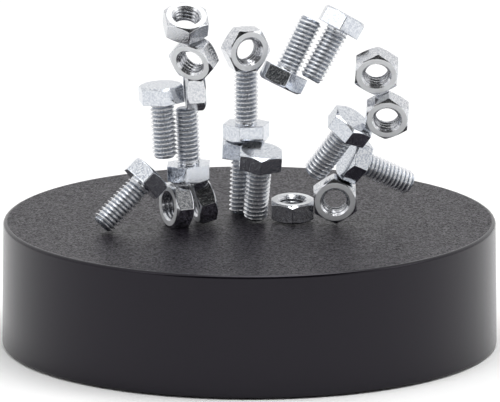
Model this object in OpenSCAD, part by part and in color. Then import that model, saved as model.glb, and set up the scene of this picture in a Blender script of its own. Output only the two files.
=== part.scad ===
// Magnetic desk sculpture: a low round base with a hidden magnet, and ten loose
// M4 hexagon bolts and ten loose M4 nuts that cling to it and to one another.
// Origin: bottom centre of the base, +Z up, -Y towards the person at the desk.

/* [Base] */
// Diameter of the base at its foot
base_d = 80; // [70:0.5:100]
// Height of the base from the table to its top face
base_h = 20.3; // [17:0.1:30]
// Thickness of the rubber foot pad, which is set into the underside
pad_t = 1; // [0.6:0.1:2]
// How far the foot pad stands out below the rim of the shell
pad_proud = 0.3; // [0.1:0.1:0.5]
// How much smaller the diameter is at the top, the draft of the moulding
draft = 0.4; // [0:0.1:2]
// Radius of the rolled edge round the top face
edge_r = 0.6; // [0.3:0.1:2]
// Thickness of the side wall
wall_t = 2.4; // [1.5:0.1:4]
// Thickness of the top, between the magnet and the loose pieces
top_t = 1.8; // [1.2:0.1:3]
// Thickness of the bottom cover
cover_t = 2; // [1.5:0.1:3]

/* [Magnet] */
// Diameter of the ferrite magnet
magnet_d = 56; // [40:1:62]
// Thickness of the ferrite magnet
magnet_t = 10; // [6:0.5:12]

/* [Bolts] */
// Outside diameter of the thread
thread_d = 4; // [3:0.1:5]
// Distance from one thread to the next
pitch = 0.7; // [0.5:0.05:1]
// Length of the bolt under its head
bolt_len = 9.2; // [8:0.1:12]
// Width across the flats of the heads and the nuts
flats = 6.8; // [6:0.1:8]
// Height of a bolt's head
head_h = 2.8; // [2:0.1:4]

/* [Nuts] */
// Height of a nut
nut_h = 3.2; // [2.4:0.1:4]
// Inside diameter of the nut's thread
bore_d = 3.6; // [2.6:0.1:4]
// Diameter of the countersink at each end of the nut's thread
sink_d = 4.9; // [4.2:0.1:5.4]

/* [Hidden] */

// Height of the face that the loose pieces stand on
deck = base_h;
top_d = base_d - draft;
inner_d = base_d - 2 * wall_t - draft;
// Ledge in the wall that the bottom cover is pushed up to
ledge = 0.8;
cover_d = inner_d + 2 * ledge;
cover_gap = 0.1;
magnet_gap = 0.3;
collar_t = 1.6;
// The collar on the cover holds the magnet up against the inside of the top
collar_top = deck - top_t - magnet_t;
lip_h = 3;
pad_gap = 0.4;
smooth = 160;
fine = 64;

corner_r = flats / sqrt(3);
// The chamfer circle that rounds the corners of a hexagon at its end faces
chamfer_r = 0.475 * flats;
chamfer_h = (corner_r - chamfer_r) * tan(30);
// Radius at the root of the thread
root_r = thread_d / 2 - 0.61 * pitch;
thread_turns = floor(bolt_len / pitch) - 1;

steel = "gainsboro";
black = "#232323";

// ---- the base -------------------------------------------------------------

// Outline of the outside of the shell, from the axis to the foot
module shell_outline() {
    polygon(concat(
        [[0, pad_proud], [base_d / 2, pad_proud]],
        [for (a = [0 : 15 : 90])
            [top_d / 2 - edge_r + edge_r * cos(a), deck - edge_r + edge_r * sin(a)]],
        [[0, deck]]));
}

module base_shell() color(black) difference() {
    rotate_extrude($fn = smooth) shell_outline();
    // The hollow inside
    translate([0, 0, -1]) cylinder(d = inner_d, h = 1 + deck - top_t, $fn = smooth);
    // The seat of the bottom cover and the foot pad
    translate([0, 0, -1]) cylinder(d = cover_d, h = 1 + pad_t + cover_t, $fn = smooth);
}

module ferrite_magnet() color("#3a3a3c") {
    rim = magnet_d / 2;
    chamfer = 0.5;
    translate([0, 0, collar_top]) rotate_extrude($fn = smooth)
        polygon([[0, 0], [rim - chamfer, 0], [rim, chamfer],
            [rim, magnet_t - chamfer], [rim - chamfer, magnet_t], [0, magnet_t]]);
}

module bottom_cover() color(black) {
    seat_d = magnet_d + 2 * magnet_gap;
    collar_h = collar_top - pad_t - cover_t;
    translate([0, 0, pad_t]) cylinder(d = cover_d - 2 * cover_gap, h = cover_t, $fn = smooth);
    // The collar under the magnet, and the lip that keeps the magnet in the middle
    translate([0, 0, pad_t + cover_t]) difference() {
        cylinder(d = seat_d + 2 * collar_t, h = collar_h + lip_h, $fn = smooth);
        translate([0, 0, -1]) cylinder(d = magnet_d - 2 * collar_t, h = deck, $fn = smooth);
        translate([0, 0, collar_h]) cylinder(d = seat_d, h = deck, $fn = smooth);
    }
}

module foot_pad() color("#1b1b1b")
    cylinder(d = cover_d - 2 * pad_gap, h = pad_t, $fn = smooth);

// ---- the loose pieces -----------------------------------------------------

// A hexagonal prism between two heights, its corners rounded off by a chamfer
// at the upper end and, for a nut, at the lower end too
module hexagon(bottom, top, both_ends) {
    flare = 1;
    wide = corner_r + flare;
    drop = chamfer_h + flare * tan(30);
    intersection() {
        translate([0, 0, bottom]) cylinder(r = corner_r, h = top - bottom, $fn = 6);
        rotate_extrude($fn = fine) polygon(concat(
            [[0, bottom]],
            both_ends ? [[chamfer_r, bottom], [wide, bottom + drop]] : [[wide, bottom]],
            [[wide, top - drop], [chamfer_r, top], [0, top]]));
    }
}

// The shank, with a ridge for every turn of the thread, a plain tip as wide as
// the thread's root, and a full-width ring under the head
module shank() {
    crest = 0.125 * pitch;
    half = 0.45 * pitch;
    tip = 1.3 * pitch;
    ring = 0.1;
    into_head = 0.01;
    ridges = [for (i = [0 : thread_turns - 1]) tip - bolt_len + i * pitch];
    rotate_extrude($fn = fine) polygon(concat(
        [[0, into_head], [0, -bolt_len], [root_r, -bolt_len]],
        [for (z = ridges, p = [[root_r, z - half], [thread_d / 2, z - crest / 2],
            [thread_d / 2, z + crest / 2], [root_r, z + half]]) p],
        [[thread_d / 2, -ring], [thread_d / 2, into_head]]));
}

module bolt() color(steel) {
    hexagon(0, head_h, false);
    shank();
}

module nut() color(steel) difference() {
    hexagon(-nut_h / 2, nut_h / 2, true);
    translate([0, 0, -nut_h]) cylinder(d = bore_d, h = 2 * nut_h, $fn = fine);
    // A 45 degree countersink at each end, cut a little past the face
    sink = (sink_d - bore_d) / 2;
    past = 0.5;
    for (side = [0, 1]) mirror([0, 0, side])
        translate([0, 0, nut_h / 2 - sink]) rotate_extrude($fn = fine)
            polygon([[0, 0], [bore_d / 2, 0], [sink_d / 2 + past, sink + past], [0, sink + past]]);
}

// Puts a piece on its point above the deck. Its axis leans from upright towards
// a heading (0 is +X, 90 is +Y), and it is turned about its own axis by a spin.
// A bolt's point is the middle of its bearing face, a nut's is its middle.
module place(at, lean, heading, spin)
    translate([at[0], at[1], deck + at[2]]) rotate([0, 0, heading])
        rotate([0, lean, 0]) rotate([0, 0, spin]) children();

// The left group: a bolt and two nuts on the deck, a head-down bolt on the nuts,
// a bolt clinging to its side, and three nuts on top
module bolt_left_low() place([-17.55, -6.35, 7.42], 48, 22, 9) bolt();
module nut_left_foot() place([-11.75, -3.65, flats / 2], 90, -154, 30) nut();
module nut_left_foot_back() place([-7.75, -1.25, 3.7], 103, -162, 31) nut();
module bolt_left_inner() place([-9.85, -2.85, 10.1], 177.5, 0, 32) bolt();
module bolt_left_outer() place([-14.15, -4.55, 20.7], 3, -175, 35) bolt();
module nut_left_shoulder() place([-8.85, -4.85, 23.1], 87, 5, 0) nut();
module nut_left_upper() place([-8.95, -8.85, 28.85], 113, -115, 17) nut();
module nut_left_top() place([-10.25, -9.35, 34.7], 28, -80, 0) nut();

// The middle group: two bolts standing on their tips, a head-down bolt on them,
// a nut on its tip, and two bolts side by side that cling to the nut
module bolt_mid_back() place([-1.05, 5.55, 9.25], 2, 0, 30) bolt();
module bolt_mid_front() place([1.65, -1.65, 9.4], 12, -66, 38) bolt();
module bolt_mid_upper() place([-0.55, 4.95, 15.05], 180, 0, 45) bolt();
module nut_mid_top() place([-0.65, 2.55, 27.8], 95, -65, 27) nut();
module bolt_mid_branch() place([6, 1.5, 24.5], 152, 202, 42) bolt();
module bolt_mid_branch_end() place([14.22, 2.4, 31.05], 31.5, 23, 9) bolt();

// The right group: a nut lying on the deck, a nut standing on a corner, two bolts
// on it, and two nuts on the upper bolt's head
module nut_right_flat() place([6.95, -0.15, 2], 6, -90, 0) nut();
module nut_right_standing() place([13.82, -2.25, 4.12], 98, -90, 3) nut();
module bolt_right_low() place([18.05, -1.15, 9.86], 64, -162, 21) bolt();
module bolt_right_upper() place([15.45, -3.95, 15.5], 37, -22, 56) bolt();
module nut_right_upper() place([22.15, -5.05, 18.6], 110, -90, 56) nut();
module nut_right_top() place([20.45, -5.15, 25.9], 111, -90, 56) nut();

base_shell();
ferrite_magnet();
bottom_cover();
foot_pad();
bolt_left_low();
bolt_left_inner();
bolt_left_outer();
bolt_mid_back();
bolt_mid_front();
bolt_mid_upper();
bolt_mid_branch();
bolt_mid_branch_end();
bolt_right_low();
bolt_right_upper();
nut_left_foot();
nut_left_foot_back();
nut_left_shoulder();
nut_left_upper();
nut_left_top();
nut_mid_top();
nut_right_flat();
nut_right_standing();
nut_right_upper();
nut_right_top();
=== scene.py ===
"""Magnetic desk sculpture: a round black base, with ten loose M4 bolts and ten M4 nuts clinging to it.

The CAD frame gives every place and size. Each bolt and nut is rebuilt here with rolled threads, rounded
edges and a zinc finish, in the local frame that its CAD solid's flat faces define. Lengths are in metres.
"""
import math

import bmesh
import bpy
import numpy as np
from mathutils import Matrix, Vector


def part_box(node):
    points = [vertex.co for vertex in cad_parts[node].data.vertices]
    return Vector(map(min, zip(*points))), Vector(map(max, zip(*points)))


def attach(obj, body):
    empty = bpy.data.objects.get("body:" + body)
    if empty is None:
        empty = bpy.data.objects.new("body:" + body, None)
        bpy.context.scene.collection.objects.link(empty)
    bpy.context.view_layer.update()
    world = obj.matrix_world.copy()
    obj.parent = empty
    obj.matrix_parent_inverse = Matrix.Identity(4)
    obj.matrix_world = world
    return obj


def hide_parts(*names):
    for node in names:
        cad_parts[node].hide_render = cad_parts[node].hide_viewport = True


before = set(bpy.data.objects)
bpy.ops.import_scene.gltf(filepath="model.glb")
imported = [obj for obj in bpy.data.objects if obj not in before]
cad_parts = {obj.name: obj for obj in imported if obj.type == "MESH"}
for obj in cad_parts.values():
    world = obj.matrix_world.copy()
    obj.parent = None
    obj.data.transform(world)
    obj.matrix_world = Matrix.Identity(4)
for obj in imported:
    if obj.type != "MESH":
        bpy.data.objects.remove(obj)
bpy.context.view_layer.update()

MM = 0.001
TURN = 2 * math.pi

# M4 thread
PITCH = 0.7 * MM
THREAD_R = 2 * MM
ROOT_R = THREAD_R - 0.613 * PITCH
BORE_R = 1.76 * MM
SINK_R = 2.45 * MM
TIP_R = 1.42 * MM
NECK = 0.3 * MM
NECK_R = 1.8 * MM
NECK_FILLET = 0.1 * MM

# A nut's thread stands a little outside the bolt's
NUT_CLEARANCE = 0.08 * MM

# Rounding of the hexagons' edges, and their corner chamfer: its slant, where it starts as a share of the
# half-width across the flats, and how softly
CORNER_ROUND = 0.16 * MM
EDGE_ROUND = 0.07 * MM
CHAMFER_SLANT = math.radians(30)
CHAMFER_SLOPE = math.tan(CHAMFER_SLANT)
CHAMFER_SHARE = 0.95
CHAMFER_SOFT = 0.05 * MM

# The rounding between the chamfer and a flat: its middle's depth in roundings, and its flattening
ARC_DEPTH = 0.577
ARC_SHARE = 0.6

# Points along each straight side of a hexagon's outline, and points round one turn of thread
SIDE_POINTS = 9
THREAD_COLUMNS = 48

# Where the crest ends and the root starts, as shares of the pitch from the crest's middle
CREST_EDGE = 0.065
ROOT_EDGE = 0.42

# What counts as one flat face of a CAD solid: how far its facets may stand from one plane, the smallest
# facet that may start a face, and the smallest area of a face that is used
SAME_PLANE = 0.004 * MM
SMALLEST_FACET = 0.02 * MM * MM
SMALLEST_FLAT = 4 * MM * MM


# ---- reading the CAD solids -------------------------------------------------

def flat_faces(node):
    """The node's large flat faces, largest first: (outward normal, distance from the origin, area)."""
    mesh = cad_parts[node].data
    count = len(mesh.polygons)
    normals = np.zeros(count * 3)
    centres = np.zeros(count * 3)
    areas = np.zeros(count)
    mesh.polygons.foreach_get("normal", normals)
    mesh.polygons.foreach_get("center", centres)
    mesh.polygons.foreach_get("area", areas)
    normals = normals.reshape(-1, 3)
    distances = (normals * centres.reshape(-1, 3)).sum(1)
    left = areas.copy()
    found = []
    while left.max() > SMALLEST_FACET:
        seed = int(left.argmax())
        same = (normals @ normals[seed] > 0.9999) & (abs(distances - distances[seed]) < SAME_PLANE)
        area = float(areas[same].sum())
        left[same] = 0
        if area > SMALLEST_FLAT:
            found.append((Vector(normals[seed]), float(distances[seed]), area))
    return sorted(found, key=lambda face: -face[2])


class Hexagon:
    """The local frame and the sizes of a bolt or nut, worked out from its CAD solid's flat faces.

    The z axis is the thread's, pointing out of a bolt's head; x points to a corner of the hexagon. The
    origin is in the middle of a bolt's bearing face, or in the middle of a nut.
    """

    def __init__(self, node):
        faces = flat_faces(node)
        square = [[f for f in faces if abs(f[0].dot(end[0])) < 0.01] for end in faces]
        along = max(range(len(faces)), key=lambda k: len(square[k]))
        self.axis = faces[along][0]
        flats = square[along]
        ends = [f for f in faces if abs(f[0].dot(self.axis)) > 0.99]
        self.axis = ends[0][0]
        centre = sum((n * d for n, d, _ in flats), Vector()) / 3
        self.across = 2 * sum(d - n.dot(centre) for n, d, _ in flats) / len(flats)
        heights = [f[0].dot(self.axis) * f[1] for f in ends]
        self.top = heights[0]
        self.bottom = heights[1]
        self.tip = min(heights)
        at = (self.top + self.bottom) / 2 if len(ends) == 2 else self.bottom
        corner = Matrix.Rotation(math.pi / 6, 3, self.axis) @ flats[0][0]
        side = self.axis.cross(corner)
        self.matrix = Matrix((corner, side, self.axis)).transposed().to_4x4()
        self.matrix.translation = centre + self.axis * at
        self.height = self.top - self.bottom
        self.shank = self.bottom - self.tip


# ---- mesh building ----------------------------------------------------------

def hexagon_outline(across, rounding):
    """Points round a hexagon with rounded corners, as (angle, radius), with a corner on the x axis."""
    middle = (across / 2 - rounding) / math.cos(math.pi / 6)
    reach = math.atan2(rounding / 2, middle + rounding * math.cos(math.pi / 6))
    inner = [-reach, -reach / 2, 0, reach / 2, reach]
    straight = np.linspace(reach, math.pi / 3 - reach, SIDE_POINTS + 2)[1:-1]
    support = [reach * 1.35, math.pi / 3 - reach * 1.35]
    points = []
    for k in range(6):
        start = k * math.pi / 3
        for a in inner:
            radius = middle * math.cos(a) + math.sqrt(rounding ** 2 - (middle * math.sin(a)) ** 2)
            points.append((start + a, radius))
        for a in sorted([*straight, *support]):
            points.append((start + a, across / 2 / math.cos(a - math.pi / 6)))
    return points


def chamfer_drop(radius, across):
    """How far the corner chamfer has come down at this radius."""
    return max(0.0, (radius - CHAMFER_SHARE * across / 2) * CHAMFER_SLOPE)


def end_rings(outline, across, face_z, out):
    """Rings over an end face's chamfer to the flats; out is 1 for an upper face, -1 for a lower one."""
    edge = CHAMFER_SHARE * across / 2
    softened = ((edge - 4 * CHAMFER_SOFT, 0), (edge - CHAMFER_SOFT, 0), (edge, 0.15 * CHAMFER_SOFT),
                (edge + CHAMFER_SOFT, CHAMFER_SOFT * CHAMFER_SLOPE))
    rings = [[(a, min(radius, r - EDGE_ROUND), face_z - out * dip) for a, r in outline]
             for radius, dip in softened]
    reach = EDGE_ROUND * math.tan((math.pi / 2 - CHAMFER_SLANT) / 2)
    for share in (0, 0.5, 1):
        lean = CHAMFER_SLANT + share * (math.pi / 2 - CHAMFER_SLANT)
        fall = reach + EDGE_ROUND * (ARC_DEPTH - math.cos(lean)) * ARC_SHARE
        rings.append([(a, r - EDGE_ROUND + EDGE_ROUND * math.sin(lean),
                       face_z - out * (chamfer_drop(r, across) + fall)) for a, r in outline])
    rings.append([(a, r, face_z - out * (chamfer_drop(r, across) + 2.2 * EDGE_ROUND))
                  for a, r in outline])
    return rings


def blunt_rings(outline, face_z, out):
    """Rings round the lower edge of a bolt's head, which has no chamfer."""
    rings = [[(a, r, face_z + out * 2.5 * EDGE_ROUND) for a, r in outline]]
    for k in range(5):
        lean = k / 4 * math.pi / 2
        rings.append([(a, r - EDGE_ROUND + EDGE_ROUND * math.cos(lean),
                       face_z + out * EDGE_ROUND * (1 - math.sin(lean))) for a, r in outline])
    return rings


def circle_ring(outline, radius, z):
    """A round ring with a point at each of the outline's angles."""
    return [(a, radius, z) for a, _ in outline]


def add_rings(bm, rings):
    """Adds closed rings of (angle, radius, height) points and the quads between them."""
    loops = [[bm.verts.new((r * math.cos(a), r * math.sin(a), z)) for a, r, z in ring] for ring in rings]
    for low, high in zip(loops, loops[1:]):
        for k in range(len(low)):
            n = (k + 1) % len(low)
            bm.faces.new((low[k], low[n], high[n], high[k]))
    return loops


def crest_height(u):
    """Height of the rolled thread from its root, from 0 to 1, at u turns from the crest's middle."""
    u = abs(u - round(u))
    return min(1.0, max(0.0, (ROOT_EDGE - u) / (ROOT_EDGE - CREST_EDGE)))


def add_thread(bm, low, high, radius_at):
    """A right-handed helical surface between two heights, cut square. Returns the two cut edge loops."""
    steps = (-0.46, -0.415, -0.38, -0.24, -0.1, -0.06, -0.02, 0.02, 0.06, 0.1, 0.24, 0.38, 0.415, 0.46)
    first = math.floor(low / PITCH) - 2
    last = math.ceil(high / PITCH) + 1
    rows = [turn + u for turn in range(first, last + 1) for u in steps]
    grid = []
    for row in rows:
        line = []
        for j in range(THREAD_COLUMNS):
            share = j / THREAD_COLUMNS
            z = PITCH * (row + share)
            r = radius_at(z, crest_height(row))
            a = TURN * share
            line.append(bm.verts.new((r * math.cos(a), r * math.sin(a), z)))
        grid.append(line)
    faces = []
    for i in range(len(rows) - 1):
        for j in range(THREAD_COLUMNS):
            across = i if j + 1 < THREAD_COLUMNS else i + len(steps)
            if across + 1 >= len(rows):
                continue
            n = (j + 1) % THREAD_COLUMNS
            faces.append(bm.faces.new((grid[i][j], grid[across][n], grid[across + 1][n], grid[i + 1][j])))
    loops = []
    for z, out in ((low, -1), (high, 1)):
        live = [f for f in faces if f.is_valid]
        geometry = [*{v for f in live for v in f.verts}, *{e for f in live for e in f.edges}, *live]
        cut = bmesh.ops.bisect_plane(bm, geom=geometry, dist=1e-7, plane_co=(0, 0, z),
                                     plane_no=(0, 0, out), clear_outer=True)
        faces = [g for g in cut["geom"] if isinstance(g, bmesh.types.BMFace)]
        loops.append([g for g in cut["geom_cut"] if isinstance(g, bmesh.types.BMEdge)])
    return loops


def loop_edges(bm, loop):
    return [bm.edges.get((loop[k], loop[(k + 1) % len(loop)])) for k in range(len(loop))]


def finished_mesh(bm, name):
    bmesh.ops.remove_doubles(bm, verts=bm.verts, dist=1e-7)
    bmesh.ops.recalc_face_normals(bm, faces=bm.faces)
    mesh = bpy.data.meshes.new(name)
    bm.to_mesh(mesh)
    bm.free()
    for face in mesh.polygons:
        face.use_smooth = True
    return mesh


def bolt_mesh(shape, name):
    bm = bmesh.new()
    outline = hexagon_outline(shape.across, CORNER_ROUND)
    top = shape.height
    rings = [circle_ring(outline, share * CHAMFER_SHARE * shape.across / 2, top) for share in (0.3, 0.7)]
    rings += end_rings(outline, shape.across, top, 1)
    rings += blunt_rings(outline, 0, 1)
    rings += [circle_ring(outline, radius, 0)
              for radius in (0.46 * shape.across, NECK_R + 2.5 * NECK_FILLET, NECK_R + NECK_FILLET)]
    rings += [circle_ring(outline, NECK_R + 0.3 * NECK_FILLET, -0.3 * NECK_FILLET),
              circle_ring(outline, NECK_R, -NECK_FILLET)]
    loops = add_rings(bm, rings)
    bm.faces.new(list(reversed(loops[0])))

    def radius_at(z, height):
        radius = ROOT_R + (THREAD_R - ROOT_R) * height
        tip = TIP_R + max(0.0, z + shape.shank)
        run_out = min(1.0, max(0.0, (-z - NECK) / (0.5 * PITCH)))
        radius = NECK_R + (radius - NECK_R) * run_out
        return min(radius, tip)

    low, high = add_thread(bm, -shape.shank, -NECK, radius_at)
    bmesh.ops.bridge_loops(bm, edges=high + loop_edges(bm, loops[-1]))
    bmesh.ops.edgenet_fill(bm, edges=low)
    return finished_mesh(bm, name)


def nut_mesh(shape, name):
    bm = bmesh.new()
    outline = hexagon_outline(shape.across, CORNER_ROUND)
    half = shape.height / 2
    inner = (SINK_R + 0.06 * MM, SINK_R + 0.2 * MM)
    rings = [circle_ring(outline, radius, half) for radius in inner]
    rings += end_rings(outline, shape.across, half, 1)
    rings += reversed(end_rings(outline, shape.across, -half, -1))
    rings += [circle_ring(outline, radius, -half) for radius in reversed(inner)]
    loops = add_rings(bm, rings)

    def radius_at(z, height):
        thread = THREAD_R + NUT_CLEARANCE - (THREAD_R - BORE_R) * (1 - height)
        sink = SINK_R - (half - abs(z))
        return max(thread, sink)

    low, high = add_thread(bm, -half, half, radius_at)
    bmesh.ops.bridge_loops(bm, edges=high + loop_edges(bm, loops[0]))
    bmesh.ops.bridge_loops(bm, edges=low + loop_edges(bm, loops[-1]))
    return finished_mesh(bm, name)


# ---- materials --------------------------------------------------------------

def material(name):
    """A new node material. Returns it with its node tree and its Principled shader."""
    made = bpy.data.materials.new(name)
    made.use_nodes = True
    return made, made.node_tree, made.node_tree.nodes["Principled BSDF"]


def node(tree, kind, **settings):
    made = tree.nodes.new("ShaderNode" + kind)
    for key, value in settings.items():
        if key in made.inputs:
            made.inputs[key].default_value = value
        else:
            setattr(made, key, value)
    return made


def noise(tree, vector, scale, detail=4.0, roughness=0.6):
    made = node(tree, "TexNoise", Scale=scale, Detail=detail, Roughness=roughness)
    tree.links.new(vector, made.inputs["Vector"])
    return made.outputs["Fac"]


def spread(tree, value, low, high, to_low, to_high):
    made = node(tree, "MapRange")
    made.inputs["From Min"].default_value = low
    made.inputs["From Max"].default_value = high
    made.inputs["To Min"].default_value = to_low
    made.inputs["To Max"].default_value = to_high
    tree.links.new(value, made.inputs["Value"])
    return made.outputs["Result"]


def bump(tree, height, distance, strength=1.0, onto=None):
    made = node(tree, "Bump", Strength=strength, Distance=distance)
    tree.links.new(height, made.inputs["Height"])
    if onto:
        tree.links.new(onto, made.inputs["Normal"])
    return made.outputs["Normal"]


def shifted_coordinates(tree, amount):
    """A piece's own coordinates, moved by a random step for each piece so that no two look alike."""
    coordinates = node(tree, "Attribute", attribute_name="own_place")
    info = node(tree, "ObjectInfo")
    shift = node(tree, "VectorMath", operation="MULTIPLY_ADD")
    combine = node(tree, "CombineXYZ")
    for axis in "XYZ":
        tree.links.new(info.outputs["Random"], combine.inputs[axis])
    tree.links.new(combine.outputs["Vector"], shift.inputs[0])
    shift.inputs[1].default_value = (amount, 1.7 * amount, 2.3 * amount)
    tree.links.new(coordinates.outputs["Vector"], shift.inputs[2])
    return shift.outputs["Vector"]


def mixed_colour(tree, factor, dark, light):
    made = node(tree, "Mix", data_type="RGBA")
    tree.links.new(factor, made.inputs["Factor"])
    made.inputs[6].default_value = (*dark, 1)
    made.inputs[7].default_value = (*light, 1)
    return made.outputs[2]


def own_axis(tree):
    """A point's distance from its piece's axis, and its height along it."""
    local = node(tree, "SeparateXYZ")
    tree.links.new(node(tree, "Attribute", attribute_name="own_place").outputs["Vector"], local.inputs[0])
    flat = node(tree, "CombineXYZ")
    tree.links.new(local.outputs["X"], flat.inputs["X"])
    tree.links.new(local.outputs["Y"], flat.inputs["Y"])
    radius = node(tree, "VectorMath", operation="LENGTH")
    tree.links.new(flat.outputs["Vector"], radius.inputs[0])
    return radius.outputs["Value"], local.outputs["Z"]


def combined(tree, operation, first, second):
    made = node(tree, "Math", operation=operation)
    tree.links.new(first, made.inputs[0])
    tree.links.new(second, made.inputs[1])
    return made.outputs["Value"]


def valley_shade_mask(tree, bright_r, dark_r, outer_r, top):
    """How deep in the thread a point lies, from 0 to 1, within a radius and below a height: where painted
    shade darkens the thread's valleys.
    """
    radius, height = own_axis(tree)
    deep = spread(tree, radius, bright_r, dark_r, 0, 1)
    within = spread(tree, radius, outer_r, outer_r + 0.02 * MM, 1, 0)
    below = spread(tree, height, top, top + 0.05 * MM, 1, 0)
    return combined(tree, "MULTIPLY", deep, combined(tree, "MULTIPLY", within, below))


def bolt_masks(tree):
    """Where a bolt is duller than its flats (its rolled shank), and where painted shade darkens its
    thread's valleys.
    """
    dull = spread(tree, own_axis(tree)[1], -0.3 * MM, -0.1 * MM, 1, 0)
    return dull, valley_shade_mask(tree, 1.78 * MM, 1.60 * MM, 2.1 * MM, -0.2 * MM)


def nut_masks(tree):
    """Where a nut is duller than its flats (its ends, its bore a little), and where painted shade darkens
    its thread's valleys.
    """
    radius, height = own_axis(tree)
    away = node(tree, "Math", operation="ABSOLUTE")
    tree.links.new(height, away.inputs[0])
    ends = spread(tree, away.outputs["Value"], 1.56 * MM, 1.59 * MM, 0, 1)
    bore = spread(tree, radius, 2.4 * MM, 2.6 * MM, 0.16, 0)
    above_the_nut = 20 * MM
    # Painted shade: darkens the valleys of the bore's thread
    valley_shade = valley_shade_mask(tree, 1.82 * MM, 2.05 * MM, 2.09 * MM, above_the_nut)
    return combined(tree, "MAXIMUM", ends, bore), valley_shade


def paler_where(tree, mask, colour):
    made = node(tree, "Mix", data_type="RGBA")
    tree.links.new(mask, made.inputs["Factor"])
    tree.links.new(colour, made.inputs[6])
    made.inputs[7].default_value = (0.86, 0.87, 0.89, 1)
    return made.outputs[2]


# The spangle's two colours, the colour multiplied into the thread's valleys as painted shade, and how
# much rougher and how metallic the dull parts are
BOLT_ZINC = {"dark": (0.47, 0.50, 0.56), "light": (0.74, 0.76, 0.79), "valley_shade": (0.38, 0.41, 0.46, 1),
             "coarser": 0.06, "metallic": 0.70}
NUT_ZINC = {"dark": (0.48, 0.50, 0.54), "light": (0.75, 0.755, 0.77), "valley_shade": (0.50, 0.50, 0.52, 1),
            "coarser": 0.30, "metallic": 0.10}


def zinc_plate(name, look, masks):
    """Bright zinc plate on cold-formed steel: spangled, slightly mottled and finely scratched, with
    painted shade in the thread's valleys.
    """
    made, tree, shader = material(name)
    place = shifted_coordinates(tree, 0.4)
    spangle = noise(tree, place, 3400, 4, 0.6)
    cloud = noise(tree, place, 700, 3, 0.5)
    stretch = node(tree, "Mapping")
    stretch.inputs["Scale"].default_value = (0.08, 0.08, 1.0)
    tree.links.new(place, stretch.inputs["Vector"])
    scratch = noise(tree, stretch.outputs["Vector"], 9000, 2, 0.5)
    dull, valley_shade = masks(tree)
    colour = mixed_colour(tree, spread(tree, spangle, 0.38, 0.6, 0, 1), look["dark"], look["light"])
    # Painted shade: a darker colour multiplied into the thread's valleys
    shade = node(tree, "Mix", data_type="RGBA", blend_type="MULTIPLY")
    tree.links.new(valley_shade, shade.inputs["Factor"])
    tree.links.new(paler_where(tree, dull, colour), shade.inputs[6])
    shade.inputs[7].default_value = look["valley_shade"]
    tree.links.new(shade.outputs[2], shader.inputs["Base Color"])
    coarser = spread(tree, dull, 0, 1, 0, look["coarser"])
    roughness = combined(tree, "ADD", spread(tree, spangle, 0.4, 0.65, 0.07, 0.24), coarser)
    tree.links.new(roughness, shader.inputs["Roughness"])
    tree.links.new(spread(tree, dull, 0, 1, 0.98, look["metallic"]), shader.inputs["Metallic"])
    fine = bump(tree, spangle, 0.003 * MM, 0.5)
    fine = bump(tree, cloud, 0.008 * MM, 0.4, fine)
    tree.links.new(bump(tree, scratch, 0.002 * MM, 0.6, fine), shader.inputs["Normal"])
    return made


def base_top_plastic():
    """Black ABS with a fine sparkling grain."""
    made, tree, shader = material("grained_black_plastic")
    coordinates = node(tree, "TexCoord").outputs["Object"]
    grain = noise(tree, coordinates, 2600, 3, 0.7)
    coarse = noise(tree, coordinates, 1100, 3, 0.6)
    colour = mixed_colour(tree, spread(tree, grain, 0.42, 0.72, 0, 1),
                          (0.0010, 0.0008, 0.0014), (0.028, 0.023, 0.034))
    tree.links.new(spread(tree, grain, 0.42, 0.62, 0.03, 0.47), shader.inputs["Specular IOR Level"])
    shader.inputs["Specular Tint"].default_value = (0.92, 0.84, 1.0, 1)
    tree.links.new(colour, shader.inputs["Base Color"])
    tree.links.new(spread(tree, coarse, 0.3, 0.7, 0.30, 0.46), shader.inputs["Roughness"])
    rough = bump(tree, grain, 0.14 * MM, 1.0)
    tree.links.new(bump(tree, coarse, 0.05 * MM, 0.3, rough), shader.inputs["Normal"])
    return made


def base_side_plastic():
    """Black ABS with the smooth satin face of the mould."""
    made, tree, shader = material("satin_black_plastic")
    coordinates = node(tree, "TexCoord").outputs["Object"]
    cloud = noise(tree, coordinates, 90, 3, 0.5)
    fine = noise(tree, coordinates, 2200, 4, 0.6)
    colour = mixed_colour(tree, cloud, (0.0020, 0.0019, 0.0032), (0.0034, 0.0033, 0.0050))
    shader.inputs["Specular IOR Level"].default_value = 0.33
    shader.inputs["Specular Tint"].default_value = (0.92, 0.86, 1.0, 1)
    tree.links.new(colour, shader.inputs["Base Color"])
    tree.links.new(spread(tree, fine, 0.3, 0.7, 0.20, 0.26), shader.inputs["Roughness"])
    tree.links.new(bump(tree, fine, 0.004 * MM, 0.5), shader.inputs["Normal"])
    return made


def rubber():
    made, tree, shader = material("black_rubber")
    coordinates = node(tree, "TexCoord").outputs["Object"]
    pores = noise(tree, coordinates, 1500, 4, 0.7)
    colour = mixed_colour(tree, pores, (0.008, 0.008, 0.008), (0.022, 0.021, 0.021))
    tree.links.new(colour, shader.inputs["Base Color"])
    tree.links.new(spread(tree, pores, 0.3, 0.7, 0.7, 0.9), shader.inputs["Roughness"])
    tree.links.new(bump(tree, pores, 0.06 * MM, 0.6), shader.inputs["Normal"])
    return made


def ferrite():
    made, tree, shader = material("sintered_ferrite")
    coordinates = node(tree, "TexCoord").outputs["Object"]
    grain = noise(tree, coordinates, 1800, 5, 0.7)
    blotch = noise(tree, coordinates, 160, 3, 0.5)
    colour = mixed_colour(tree, blotch, (0.03, 0.03, 0.034), (0.07, 0.068, 0.07))
    tree.links.new(colour, shader.inputs["Base Color"])
    tree.links.new(spread(tree, grain, 0.3, 0.7, 0.45, 0.7), shader.inputs["Roughness"])
    tree.links.new(bump(tree, grain, 0.05 * MM, 0.5), shader.inputs["Normal"])
    return made


# ---- the pieces -------------------------------------------------------------

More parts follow.
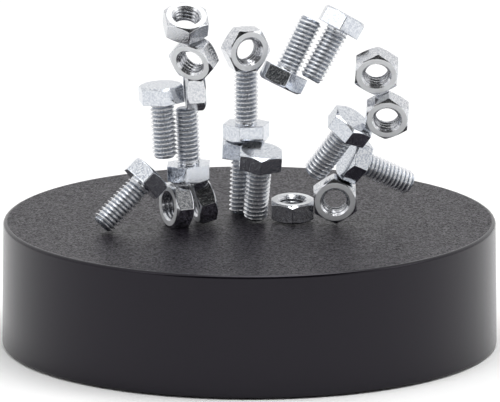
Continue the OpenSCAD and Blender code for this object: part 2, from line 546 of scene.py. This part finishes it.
def add_piece(mesh, name, body, materials, replaced, matrix=None):
    """Adds a mesh as a piece that stands for a CAD node and rides on its body.

    A matrix moves the mesh into the shared frame; its own coordinates stay in the attribute own_place.
    """
    if matrix:
        own = np.zeros(len(mesh.vertices) * 3)
        mesh.vertices.foreach_get("co", own)
        mesh.attributes.new("own_place", "FLOAT_VECTOR", "POINT").data.foreach_set("vector", own)
        mesh.transform(matrix)
    made = bpy.data.objects.new(name, mesh)
    bpy.context.scene.collection.objects.link(made)
    for one in materials:
        mesh.materials.append(one)
    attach(made, body)
    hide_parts(replaced)
    return made


def lathe(profile, segments, name):
    """A closed solid of revolution from a profile of (radius, height, slot) points, from axis to axis."""
    bm = bmesh.new()
    rings = [[bm.verts.new((r * math.cos(TURN * k / segments), r * math.sin(TURN * k / segments), z))
              for k in range(segments)] for r, z, _ in profile[1:-1]]
    start = bm.verts.new((0, 0, profile[0][1]))
    end = bm.verts.new((0, 0, profile[-1][1]))
    for k in range(segments):
        n = (k + 1) % segments
        bm.faces.new((start, rings[0][k], rings[0][n])).material_index = profile[1][2]
        for (low, high), (_, _, slot) in zip(zip(rings, rings[1:]), profile[2:]):
            bm.faces.new((low[k], high[k], high[n], low[n])).material_index = slot
        bm.faces.new((rings[-1][k], end, rings[-1][n])).material_index = profile[-1][2]
    bmesh.ops.recalc_face_normals(bm, faces=bm.faces)
    mesh = bpy.data.meshes.new(name)
    bm.to_mesh(mesh)
    bm.free()
    for face in mesh.polygons:
        face.use_smooth = True
    return mesh


def rounded(points, segments=6):
    """Rounds the corners of a profile. Each point is (radius, height, rounding, slot)."""
    out = []
    for k, (x, z, rounding, slot) in enumerate(points):
        here = Vector((x, z))
        if rounding == 0 or k in (0, len(points) - 1):
            out.append((x, z, slot))
            continue
        back = (Vector(points[k - 1][:2]) - here).normalized()
        on = (Vector(points[k + 1][:2]) - here).normalized()
        half = back.angle(on) / 2
        reach = rounding / math.tan(half)
        middle = here + (back + on).normalized() * rounding / math.sin(half)
        first = here + back * reach - middle
        sweep = math.pi - 2 * half
        side = 1 if back.x * on.y - back.y * on.x < 0 else -1
        out.append((*(here + back * (reach + 0.1 * MM)), slot))
        for step in range(segments + 1):
            angle = side * sweep * step / segments
            c, s = math.cos(angle), math.sin(angle)
            out.append((middle.x + first.x * c - first.y * s, middle.y + first.x * s + first.y * c, slot))
        out.append((*(here + on * (reach + 0.1 * MM)), slot))
    return out


def base_shell():
    low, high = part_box("base_shell")
    cover_low, cover_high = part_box("bottom_cover")
    magnet_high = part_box("ferrite_magnet")[1]
    radius, deck, foot = high.x, high.z, low.z
    top_radius = radius - 0.2 * MM
    seat = cover_high.x + 0.1 * MM
    hollow = seat - 0.8 * MM
    ledge = cover_low.z + 2 * MM
    ceiling = magnet_high.z
    top, side = 0, 1
    points = [
        (0, deck, 0, top), (top_radius - 0.62 * MM, deck, 0, top), (top_radius, deck, 0.5 * MM, side),
        (radius, foot, 0.25 * MM, side), (seat, foot, 0.2 * MM, side),
        (seat, ledge, 0.1 * MM, side), (hollow, ledge, 0.1 * MM, side),
        (hollow, ceiling, 0.3 * MM, side), (0, ceiling, 0, side)]
    mesh = lathe(rounded(points), 256, "base_shell_moulded")
    return add_piece(mesh, "base_shell_moulded", "base",
                     [base_top_plastic(), base_side_plastic()], "base_shell")


def foot_pad(look):
    low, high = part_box("foot_pad")
    points = [
        (0, high.z, 0, 0), (high.x, high.z, 0.15 * MM, 0),
        (high.x, low.z, 0.25 * MM, 0), (0, low.z, 0, 0)]
    mesh = lathe(rounded(points), 192, "foot_pad_rubber")
    return add_piece(mesh, "foot_pad_rubber", "base", [look], "foot_pad")


base_shell()
foot_pad(rubber())
for cad_node, look in (("ferrite_magnet", ferrite()), ("bottom_cover", base_side_plastic())):
    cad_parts[cad_node].data.materials.clear()
    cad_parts[cad_node].data.materials.append(look)

bolt_zinc = zinc_plate("bolt_zinc_plate", BOLT_ZINC, bolt_masks)
nut_zinc = zinc_plate("nut_zinc_plate", NUT_ZINC, nut_masks)
for name in sorted(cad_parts):
    if name.startswith("bolt_"):
        shape = Hexagon(name)
        add_piece(bolt_mesh(shape, name + "_threaded"), name + "_threaded", name,
                  [bolt_zinc], name, shape.matrix)
    if name.startswith("nut_"):
        shape = Hexagon(name)
        add_piece(nut_mesh(shape, name + "_threaded"), name + "_threaded", name,
                  [nut_zinc], name, shape.matrix)


# ---- the stage --------------------------------------------------------------

def pale_floor():
    made, tree, shader = material("pale_floor")
    coordinates = node(tree, "TexCoord").outputs["Object"]
    cloud = noise(tree, coordinates, 40, 2, 0.5)
    colour = mixed_colour(tree, cloud, (0.93, 0.93, 0.93), (0.95, 0.95, 0.95))
    tree.links.new(colour, shader.inputs["Base Color"])
    shader.inputs["Roughness"].default_value = 0.9
    mesh = bpy.data.meshes.new("floor")
    reach = 6.0
    corners = [(-reach, -reach, 0), (reach, -reach, 0), (reach, reach, 0), (-reach, reach, 0)]
    mesh.from_pydata(corners, [], [(0, 1, 2, 3)])
    mesh.materials.append(made)
    floor = bpy.data.objects.new("floor", mesh)
    bpy.context.scene.collection.objects.link(floor)


def area_light(name, at, size, power, towards=(0, 0, 0.02)):
    data = bpy.data.lights.new(name, "AREA")
    data.shape = "RECTANGLE"
    data.size, data.size_y = size
    data.energy = power
    made = bpy.data.objects.new(name, data)
    made.location = at
    made.rotation_euler = (Vector(towards) - Vector(at)).to_track_quat("-Z", "Y").to_euler()
    bpy.context.scene.collection.objects.link(made)


def dark_patch(tree, towards, wide, narrow, left):
    """The share of light left: 1 outside a cone, falling to the rest that is left inside it.

    wide and narrow are the cosines at which the fall starts and ends.
    """
    towards_patch = node(tree, "VectorMath", operation="DOT_PRODUCT")
    towards_patch.inputs[1].default_value = Vector(towards).normalized()
    tree.links.new(node(tree, "TexCoord").outputs["Generated"], towards_patch.inputs[0])
    return spread(tree, towards_patch.outputs["Value"], wide, narrow, 1.0, left)


def soft_world():
    """White all round, with a dark patch round the viewer and a grey one above it, to the right."""
    world = bpy.data.worlds.new("studio")
    bpy.context.scene.world = world
    world.use_nodes = True
    tree = world.node_tree
    background = tree.nodes["Background"]
    both = node(tree, "Math", operation="MULTIPLY")
    tree.links.new(dark_patch(tree, (0, -0.95, 0.31), 0.69, 0.80, 0.04), both.inputs[0])
    tree.links.new(dark_patch(tree, (0.5, -0.45, 0.74), 0.87, 0.94, 0.25), both.inputs[1])
    tree.links.new(both.outputs["Value"], background.inputs["Strength"])
    background.inputs["Color"].default_value = (1.0, 1.0, 1.0, 1)


def camera():
    """Nearly parallel view from the front, 12.9 degrees above the horizon."""
    distance = 3.0
    elevation = math.radians(12.9)
    width_seen = 80.80808 * MM
    aim = Vector((0.08 * MM, 0, 23.5 * MM))
    data = bpy.data.cameras.new("camera")
    data.sensor_width = 36
    data.lens = 36 * distance / width_seen
    data.clip_start = 0.05
    data.clip_end = 30
    made = bpy.data.objects.new("camera", data)
    made.location = aim + distance * Vector((0, -math.cos(elevation), math.sin(elevation)))
    made.rotation_euler = (math.pi / 2 - elevation, 0, 0)
    bpy.context.scene.collection.objects.link(made)
    bpy.context.scene.camera = made


pale_floor()
soft_world()
area_light("overhead", (0.08, -0.05, 0.6), (0.45, 0.35), 2.0)
area_light("front_left", (-0.7, -0.6, 0.75), (0.5, 0.5), 0.75)
area_light("front_right", (1.0, -0.2, 0.6), (0.5, 0.5), 1.0)
camera()
bpy.context.scene.view_settings.view_transform = "Standard"
bpy.context.scene.view_settings.look = "None"
